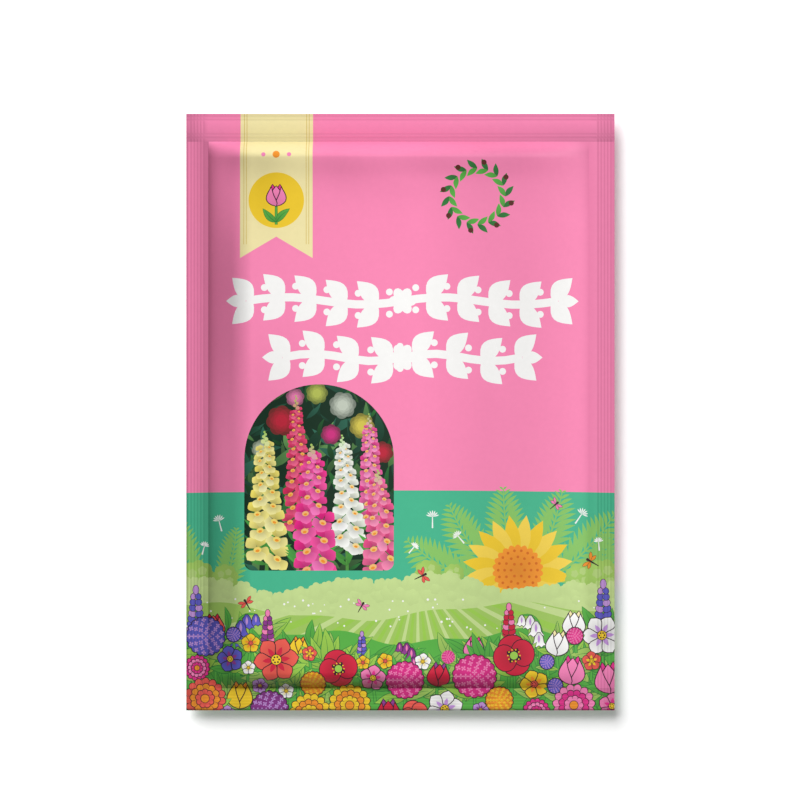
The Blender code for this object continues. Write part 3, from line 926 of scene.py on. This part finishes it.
def triangles_of(sheet, lines, loose=()):
    """Triangles of a flat sheet along its visible outlines, and the shape that each belongs to."""
    drawn_xy, drawn, drawn_owners = topmost_shapes(sheet)
    points, edges = visible_outlines(drawn_xy, drawn, drawn_owners)
    for ends in lines:
        edges.append((len(points), len(points) + 1))
        points += ends
    points += sheet.shapes[0].tolist() + list(loose)
    xy, triangles, _ = flat_plan(points, edges, [])
    triangles = np.array(triangles)
    a, b, c = (xy[triangles[:, i]] for i in range(3))
    clockwise = (b[:, 0] - a[:, 0]) * (c[:, 1] - a[:, 1]) < (b[:, 1] - a[:, 1]) * (c[:, 0] - a[:, 0])
    triangles[clockwise] = triangles[clockwise][:, ::-1]
    lookup = BVHTree.FromPolygons([(x, y, 0.0) for x, y in drawn_xy.tolist()], drawn.tolist())
    middles = xy[triangles].mean(axis=1).tolist()
    owners = [drawn_owners[lookup.find_nearest((x, y, 0.0))[2]] for x, y in middles]
    return xy, triangles, np.array(owners)


def film_painted_shade(x, y):
    """Painted shade, as a factor on the print at each corner of each triangle, by its place on a band or on
    the body.
    """
    # Painted shade on the body beside the right band and beside the top band
    right_shade = np.interp(BODY_RIGHT - x, *RIGHT_PAINTED_SHADE)
    top_shade = np.interp(BODY_TOP - y, *TOP_PAINTED_SHADE) * np.interp(x, TOP_PAINTED_SHADE_FROM, (0.0, 1.0))
    tone = (1 - right_shade) * (1 - top_shade)
    distances = (x - LEFT, RIGHT - x, TOP - y, y - BOTTOM)
    widths = (BODY_LEFT - LEFT, RIGHT - BODY_RIGHT, TOP - BODY_TOP, BODY_BOTTOM - BOTTOM)
    left, right = (1 - np.clip(distances[i] / widths[i], 0, 1) for i in (0, 1))
    # Painted shade deepened on the top and bottom band towards their left and right ends
    at_corner = (1 - LEFT_CORNER_SHADE * left) * (1 - RIGHT_CORNER_SHADE * right)
    for distance, width, shades, factor in zip(distances, widths, BAND_PAINTED_SHADES, (1, 1, at_corner, at_corner)):
        on_band = distance.mean(axis=1, keepdims=True) < width + BAND_MARGIN
        tone = np.where(on_band, factor * np.interp(distance / width, BAND_SHADE_PLACES, shades), tone)
    # Painted shade in the bottom of each groove
    return tone * (1 - GROOVE_PAINTED_SHADE * groove_depth(x, y) / GROOVE_DEPTH)


def corner_colours(sheet, corners, owners):
    """Colour at each triangle corner: the shape's, its fade, and the painted shade of the film there."""
    fades = np.array(sheet.fades)[owners][:, None, :]
    away = np.hypot(corners[..., 0] - fades[..., 0], corners[..., 1] - fades[..., 1])
    tone = fades[..., 3] + (fades[..., 4] - fades[..., 3]) * np.clip(away / fades[..., 2], 0, 1)
    tone = tone * film_painted_shade(corners[..., 0], corners[..., 1])
    return np.clip(np.array(sheet.colours)[owners][:, None, :] * tone[..., None], 0, 1)


def side_rows(xy):
    """Point numbers along the lower, right, upper and left side, each in order."""
    rows = []
    for axis, level in ((1, BOTTOM), (0, RIGHT), (1, TOP), (0, LEFT)):
        on_side = np.nonzero(xy[:, axis] == level)[0]
        rows.append(on_side[np.argsort(xy[on_side, 1 - axis])])
    return rows


def flat_uv(places, corner, scale=1.0):
    """UV of places on the flat film, from a corner of the map on."""
    return corner + (places.reshape(-1, 2) - (LEFT, BOTTOM)) / UV_LENGTH * scale


def placed(name, data):
    """New object in the scene."""
    obj = bpy.data.objects.new(name, data)
    bpy.context.scene.collection.objects.link(obj)
    return obj


def add_film(name, sheet, outside, inside, facing, step, materials):
    """The film as one closed mesh: printed outer face, metallised inner face and cut rim."""
    outer, outer_triangles, owners = triangles_of(sheet, outer_lines(step))
    rows = side_rows(outer)
    rim_points = outer[np.unique(np.concatenate(rows))].tolist()
    inner, inner_triangles, _ = triangles_of(blank_sheet(WHITE), inner_lines(), rim_points)
    inner_rows = side_rows(inner)
    if facing > 0:
        inner_triangles = inner_triangles[:, ::-1]
    else:
        outer_triangles = outer_triangles[:, ::-1]
    # The printed face carries the painted shade of its place, on the back film as well as the front
    colours = [
        corner_colours(sheet, outer[outer_triangles], owners).reshape(-1, 3),
        np.full((inner_triangles.size, 3), INNER_GREY),
    ]
    points = np.concatenate([
        np.column_stack([outer, outside(*outer.T)]),
        np.column_stack([inner, inside(*inner.T)]),
    ])
    normals = [
        facing * normals_of(outside, *outer.T)[outer_triangles].reshape(-1, 3),
        -facing * normals_of(inside, *inner.T)[inner_triangles].reshape(-1, 3),
    ]
    uv = [
        flat_uv(outer[outer_triangles], (UV_MARGIN, UV_MARGIN)),
        flat_uv(inner[inner_triangles], (UV_INNER_AT, UV_MARGIN), UV_INNER_SCALE),
    ]
    faces = outer_triangles.tolist() + (inner_triangles + len(outer)).tolist()
    printed_faces = len(outer_triangles)
    for number, out in enumerate(((0, -1), (1, 0), (0, 1), (-1, 0))):
        row, inner_row = rows[number].tolist(), (inner_rows[number] + len(outer)).tolist()
        lengths = flat_uv(outer[row], (UV_MARGIN, UV_MARGIN))[:, number % 2].tolist()
        left = UV_RIM_AT + UV_RIM_PITCH * number
        right = left + UV_RIM_WIDTH
        for a, b, c, d, low, high in zip(row, row[1:], inner_row[1:], inner_row, lengths, lengths[1:]):
            quad, strip = [a, b, c, d], [(left, low), (left, high), (right, high), (right, low)]
            if (number < 2) == (facing > 0):
                quad, strip = quad[::-1], strip[::-1]
            faces.append(quad)
            uv.append(np.array(strip))
            normals.append(np.tile((*out, 0.0), (4, 1)))
            colours.append(np.full((4, 3), RIM_GREY))

    data = bpy.data.meshes.new(name)
    data.from_pydata((points / MM_PER_METRE).tolist(), [], faces)
    data.polygons.foreach_set("use_smooth", [True] * len(faces))
    for material in materials:
        data.materials.append(material)
    data.polygons.foreach_set("material_index", [int(i >= printed_faces) for i in range(len(faces))])
    rgb = np.concatenate(colours)
    layer = data.color_attributes.new("print", "FLOAT_COLOR", "CORNER")
    layer.data.foreach_set("color", np.column_stack([rgb, np.ones(len(rgb))]).ravel())
    data.uv_layers.new(name="OFBake").data.foreach_set("uv", np.concatenate(uv).ravel())
    data.normals_split_custom_set(np.concatenate(normals).tolist())
    return placed(name, data)


# Seeds

def add_seeds(material):
    """Loose heap of pitted seeds on the back film, more and smaller than in the CAD model."""
    draw = random.Random(3)
    mesh = bmesh.new()
    turn = math.pi * (3 - math.sqrt(5))
    for i in range(SEED_COUNT):
        radius = SEED_SPACING * math.sqrt(i + 0.5)
        x = HEAP_MIDDLE[0] + HEAP_STRETCH[0] * radius * math.cos(i * turn) + draw.uniform(-0.15, 0.15)
        y = HEAP_MIDDLE[1] + HEAP_STRETCH[1] * radius * math.sin(i * turn) + draw.uniform(-0.15, 0.15)
        size = draw.uniform(0.9, 1.1)
        half_sizes = [length * size / 2 for length in SEED_SIZE]
        piled = PILE_HEIGHT * max(0.0, 1 - radius / PILE_REACH) * draw.random()
        shape = Matrix.Translation((x, y, FILM + SEED_CLEARANCE + half_sizes[2] + piled))
        shape @= Matrix.Rotation(draw.uniform(0, math.pi), 4, "Z")
        shape @= Matrix.Rotation(draw.uniform(-0.1, 0.1), 4, "Y")
        shape @= Matrix.Diagonal((*half_sizes, 1))
        for v in bmesh.ops.create_icosphere(mesh, subdivisions=2, radius=1.0)["verts"]:
            pit = abs(math.sin(5 * v.co.x + i) * math.sin(6 * v.co.y + 2 * i) * math.sin(5 * v.co.z))
            v.co = (shape @ (v.co * (1 - PIT_DEPTH * pit))) / MM_PER_METRE
    for face in mesh.faces:
        face.smooth = True
    data = bpy.data.meshes.new("loose_seeds")
    mesh.to_mesh(data)
    mesh.free()
    data.materials.append(material)
    return placed("loose_seeds", data)


# Materials

def fill(node, values):
    """Sets the values of a node's sockets."""
    for socket, value in values.items():
        node.inputs[socket].default_value = value


class Surface:
    """Principled material with short ways to add noise, ranges and bumps."""

    def __init__(self, name, roughness, metallic, specular):
        self.material = bpy.data.materials.new(name)
        self.material.use_nodes = True
        self.tree = self.material.node_tree
        self.shader = self.tree.nodes["Principled BSDF"]
        fill(self.shader, {"Roughness": roughness, "Metallic": metallic, "Specular IOR Level": specular})
        self.place = self.node("TexCoord", {}, {}).outputs["Object"]

    def set(self, socket, value):
        self.tree.links.new(value, self.shader.inputs[socket])

    def node(self, kind, values, links):
        """New node with some values of its sockets set, and others linked to outputs."""
        node = self.tree.nodes.new("ShaderNode" + kind)
        fill(node, values)
        for socket, output in links.items():
            self.tree.links.new(output, node.inputs[socket])
        return node

    def noise(self, scale, detail=3.0, roughness=0.5):
        values = {"Scale": scale, "Detail": detail, "Roughness": roughness}
        return self.node("TexNoise", values, {"Vector": self.place}).outputs["Fac"]

    def ranged(self, value, low, high):
        return self.node("MapRange", {"To Min": low, "To Max": high}, {"Value": value}).outputs["Result"]

    def blended(self, value, low, high):
        node = self.node("ValToRGB", {}, {"Fac": value})
        for element, colour in zip(node.color_ramp.elements, (low, high)):
            element.color = (*colour, 1)
        return node.outputs["Color"]

    def bump(self, height, strength, distance, normal=None):
        links = {"Height": height, "Normal": normal} if normal else {"Height": height}
        return self.node("Bump", {"Strength": strength, "Distance": distance}, links).outputs["Normal"]


def printed_material():
    """Satin laminate: ink laid a little unevenly on a film that isn't quite flat."""
    film = Surface("printed_film", 0.52, 0.0, 0.2)
    drawn = film.node("Attribute", {}, {})
    drawn.attribute_name = "print"
    uneven = film.node("Mix", {"Factor": 1.0}, {})
    uneven.data_type = "RGBA"
    uneven.blend_type = "MULTIPLY"
    film.tree.links.new(drawn.outputs["Color"], uneven.inputs[6])
    film.tree.links.new(film.ranged(film.noise(900, 4), 0.955, 1.02), uneven.inputs[7])
    film.set("Base Color", uneven.outputs[2])
    film.set("Roughness", film.ranged(film.noise(160, 3), 0.46, 0.58))
    waves = film.bump(film.noise(75, 2), 0.5, 0.00025)
    film.set("Normal", film.bump(film.noise(3200, 2), 0.12, 0.00003, waves))
    return film.material


def metallised_material():
    """Bright vapour-coated inside of the film."""
    film = Surface("metallised_film", 0.3, 0.9, 0.5)
    film.set("Base Color", film.blended(film.noise(220, 3), (0.66, 0.67, 0.69), (0.84, 0.85, 0.86)))
    film.set("Roughness", film.ranged(film.noise(500, 3), 0.24, 0.38))
    film.set("Normal", film.bump(film.noise(120, 2), 0.4, 0.0002))
    return film.material


def seed_material():
    """Dull dark seed coat with pits."""
    coat = Surface("seed_coat", 0.85, 0.0, 0.3)
    dark, light = (0.018, 0.012, 0.009), (0.095, 0.062, 0.038)
    coat.set("Base Color", coat.blended(coat.noise(1800, 5, 0.6), dark, light))
    coat.set("Roughness", coat.ranged(coat.noise(1400, 3), 0.72, 0.95))
    coat.set("Normal", coat.bump(coat.noise(5200, 4, 0.6), 0.8, 0.00012))
    return coat.material


# Studio

def add_stage():
    bpy.ops.mesh.primitive_plane_add(size=FLOOR_SIZE, location=(0, 0, -FLOOR_DROP))
    floor = bpy.context.object
    floor.name = "floor"
    material = bpy.data.materials.new("pale_floor")
    material.use_nodes = True
    fill(material.node_tree.nodes["Principled BSDF"], {
        "Base Color": (FLOOR_TONE, FLOOR_TONE, FLOOR_TONE, 1), "Roughness": 0.9, "Specular IOR Level": 0.0,
        "Emission Color": (1, 1, 1, 1), "Emission Strength": FLOOR_GLOW,
    })
    floor.data.materials.append(material)
    return floor


def add_area(name, lit, azimuth, elevation, distance, size, energy):
    """Soft square light towards the packet, for the objects in lit. Azimuth is counted from +X to +Y."""
    a, e = math.radians(azimuth), math.radians(elevation)
    away = Vector((math.cos(e) * math.cos(a), math.cos(e) * math.sin(a), math.sin(e)))
    light = bpy.data.lights.new(name, "AREA")
    light.size = size
    light.energy = energy
    lamp = placed(name, light)
    lamp.location = away * distance
    lamp.rotation_mode = "QUATERNION"
    lamp.rotation_quaternion = away.to_track_quat("Z", "Y")
    group = bpy.data.collections.new(name)
    for obj in lit:
        group.objects.link(obj)
    lamp.light_linking.receiver_collection = group


def add_camera():
    """Long lens straight above, so that the packet has its width and its place in the picture."""
    pixels_per_metre = PACKET_PIXELS / WIDTH * MM_PER_METRE
    aside, above = (middle - PICTURE_PIXELS / 2 for middle in PACKET_MIDDLE)
    camera = bpy.data.cameras.new("camera")
    camera.lens, camera.sensor_width = LENS, SENSOR
    camera.clip_start, camera.clip_end = 0.05, 10
    holder = placed("camera", camera)
    height = PICTURE_PIXELS / pixels_per_metre * LENS / SENSOR + SEAL_LIFT / MM_PER_METRE
    holder.location = (-aside / pixels_per_metre, above / pixels_per_metre, height)
    bpy.context.scene.camera = holder


def add_world():
    world = bpy.data.worlds.new("studio")
    world.use_nodes = True
    fill(world.node_tree.nodes["Background"], {"Color": (1, 1, 1, 1), "Strength": WORLD_STRENGTH})
    bpy.context.scene.world = world


def main():
    looks = (printed_material(), metallised_material())
    front = add_film("front_print", front_sheet(), front_outside, front_inside, 1, 1.4, looks)
    back = add_film("back_print", back_sheet(), back_outside, back_inside, -1, 2.4, looks)
    seeds = add_seeds(seed_material())
    for piece, node in ((front, "front_film"), (back, "back_film"), (seeds, "seeds")):
        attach(piece, "root")
        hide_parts(node)
    floor = add_stage()
    add_camera()
    add_world()
    packet = (front, back, seeds)
    add_area("key", packet, azimuth=35, elevation=45, distance=4.0, size=1.47, energy=209.0)
    add_area("floor_light", (floor,), azimuth=122, elevation=42, distance=3.0, size=2.4, energy=145.0)
    bpy.context.scene.view_settings.view_transform = "Standard"


main()
